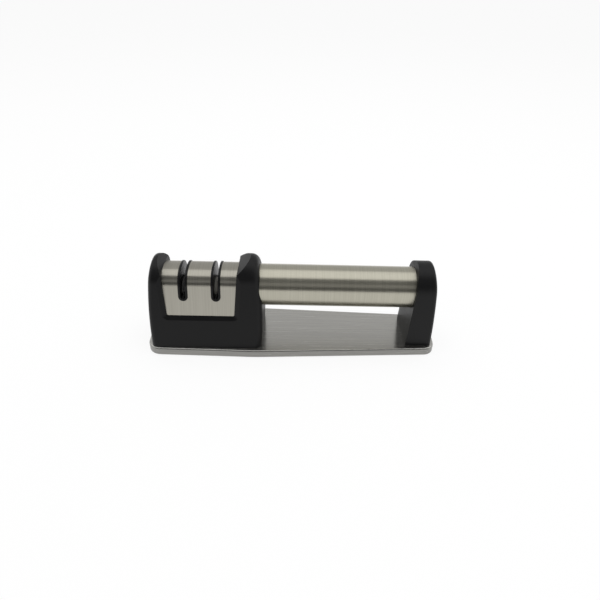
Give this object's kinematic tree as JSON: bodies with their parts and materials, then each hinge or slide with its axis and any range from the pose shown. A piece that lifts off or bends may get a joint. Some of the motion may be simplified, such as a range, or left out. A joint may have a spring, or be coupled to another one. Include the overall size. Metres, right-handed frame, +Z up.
{
  "type": "pull through knife sharpener",
  "caption": "Pull through knife sharpener with a steel covered head slotted for the blade, abrasive wheels in it, a tube handle and an end support on a tapered steel base.",
  "frame": {"origin": "on the resting surface, under the middle of the base plate", "axes": "+X from the sharpening head to the end support, +Y from front to back, the way that a blade is pulled, +Z up"},
  "size_m": [0.1986, 0.0508, 0.065],
  "materials": {
    "black_abs": "satin moulded",
    "slot_plastic": "smooth moulded",
    "brushed_plate": "brushed along the object",
    "brushed_tube": "brushed round the tube",
    "brushed_cover": "brushed round the saddle",
    "axle_steel": "ground",
    "plated_screw": "zinc plated",
    "coarse_grit": "coarse bonded grit",
    "fine_grit": "fine bonded grit",
    "nylon": "natural nylon",
    "stiffener_abs": "moulded",
    "pad_rubber": "matt"
  },
  "bodies": {
    "sharpener_body": {"base_plate": "brushed_plate", "base_insert": "stiffener_abs", "grip_pad": "pad_rubber", "head_housing": "black_abs", "head_cover": "brushed_cover", "handle_tube": "brushed_tube", "support_housing": "black_abs", "head_screws": "plated_screw", "support_screws": "plated_screw", "carrier_screws": "plated_screw", "coarse_carrier": "slot_plastic", "coarse_axle": "axle_steel", "coarse_washers": "axle_steel", "fine_carrier": "slot_plastic", "fine_axle": "axle_steel", "fine_washers": "axle_steel"},
    "coarse_left": {"coarse_wheel_left": "coarse_grit", "coarse_hub_left": "nylon"},
    "coarse_right": {"coarse_wheel_right": "coarse_grit", "coarse_hub_right": "nylon"},
    "fine_left": {"fine_wheel_left": "fine_grit", "fine_hub_left": "nylon"},
    "fine_right": {"fine_wheel_right": "fine_grit", "fine_hub_right": "nylon"}
  },
  "joints": [
    {"name": "coarse_left_spin", "type": "hinge", "parent": "sharpener_body", "child": "coarse_left", "pos_m": [-0.07365, 0, 0.0385], "axis": [1, 0, 0], "continuous": true},
    {"name": "coarse_right_spin", "type": "hinge", "parent": "sharpener_body", "child": "coarse_right", "pos_m": [-0.07065, 0, 0.0385], "axis": [1, 0, 0], "continuous": true},
    {"name": "fine_left_spin", "type": "hinge", "parent": "sharpener_body", "child": "fine_left", "pos_m": [-0.05235, 0, 0.0385], "axis": [1, 0, 0], "continuous": true},
    {"name": "fine_right_spin", "type": "hinge", "parent": "sharpener_body", "child": "fine_right", "pos_m": [-0.04935, 0, 0.0385], "axis": [1, 0, 0], "continuous": true}
  ]
}
